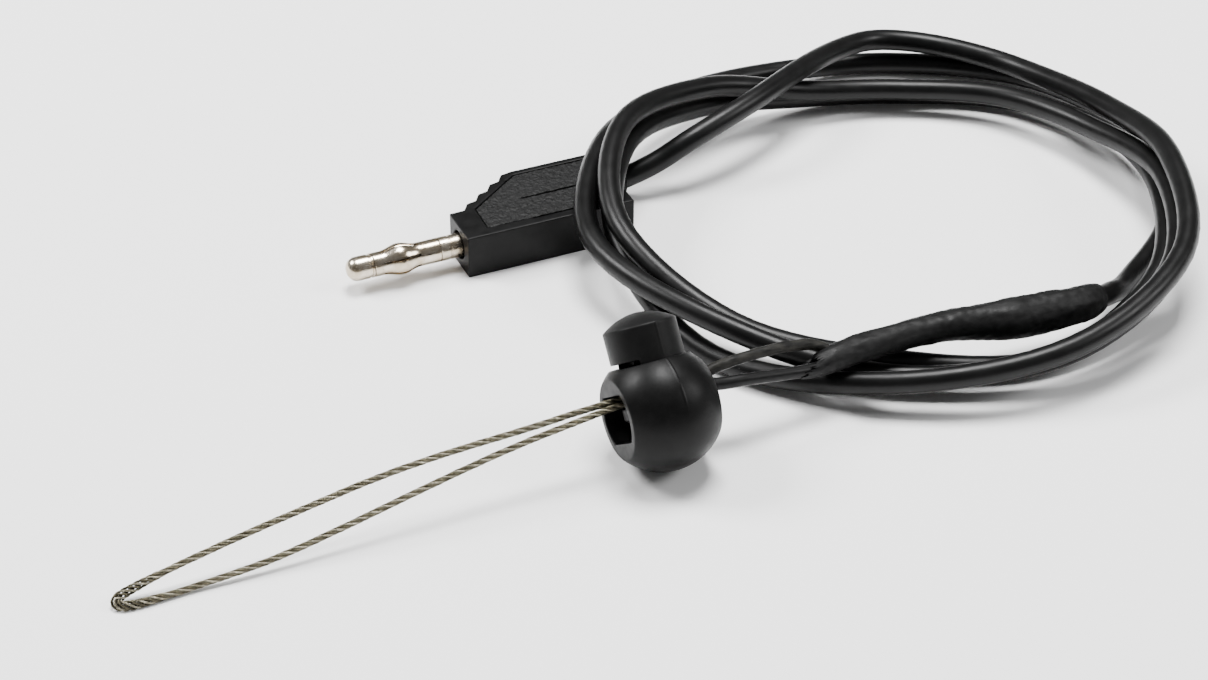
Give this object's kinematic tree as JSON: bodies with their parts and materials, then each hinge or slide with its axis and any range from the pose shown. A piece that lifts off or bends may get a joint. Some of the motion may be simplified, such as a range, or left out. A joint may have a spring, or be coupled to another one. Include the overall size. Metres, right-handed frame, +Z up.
{
  "type": "bonding lead",
  "caption": "Wire-rope lasso cinched by a spring-loaded ball cord lock, with a heat-shrunk splice, a coiled black test lead and a stackable 4 mm lantern plug.",
  "frame": {"origin": "centre of the bottom of the box round the lasso, lock and splice, on the surface the part lies on", "axes": "+X from the lasso's tip through the lock to the splice, +Y towards the far side of the coil, +Z up"},
  "size_m": [0.201, 0.1043, 0.0231],
  "materials": {
    "rope_steel": "satin twisted wire",
    "heat_shrink": "matte",
    "lock_plastic": "satin",
    "spring_steel": "bright",
    "brass": "machined",
    "tinned_copper": "dull tin",
    "bare_copper": "stranded copper",
    "resistor_coat": "lacquer",
    "cable_jacket": "semi-gloss",
    "plug_plastic": "satin",
    "grained_plastic": "coarse grain",
    "nickel_plate": "bright nickel"
  },
  "bodies": {
    "lead": {"wire_rope_loop": "rope_steel", "leg_sleeve_upper": "heat_shrink", "leg_sleeve_lower": "heat_shrink", "splice_sleeve": "heat_shrink", "splice_end_collar": "heat_shrink", "rope_ferrule": "brass", "resistor_sleeve": "heat_shrink", "cable_ferrule": "brass", "resistor_lead_rope_side": "tinned_copper", "resistor_lead_cable_side": "tinned_copper", "safety_resistor": "resistor_coat", "cable_core_splice": "bare_copper", "cable": "cable_jacket", "plug_housing": "plug_plastic", "plug_cover": "grained_plastic", "contact_block": "brass", "clamp_screw": "spring_steel", "pin_core": "nickel_plate", "stacking_socket": "nickel_plate", "strain_relief": "plug_plastic", "cable_core_plug": "bare_copper"},
    "lock": {"lock_body": "lock_plastic", "lock_spring": "spring_steel"},
    "button": {"lock_button": "lock_plastic"},
    "cage": {"spring_cage": "nickel_plate"}
  },
  "joints": [
    {"name": "lock_slide", "type": "slide", "parent": "lead", "child": "lock", "axis": [-0.9971, 0.0289, -0.0708], "range_m": [0, 0.05], "deforming": ["wire_rope_loop"]},
    {"name": "button_press", "type": "slide", "parent": "lock", "child": "button", "axis": [0, -0.6, -0.8], "range_m": [0, 0.0035], "stiffness_N_per_m": 600, "springref_m": -0.002, "deforming": ["lock_spring"]},
    {"name": "cage_spin", "type": "hinge", "parent": "lead", "child": "cage", "pos_m": [-0.0128, 0.0601, 0.0038], "axis": [-0.9997, 0.0262, 0], "continuous": true}
  ]
}
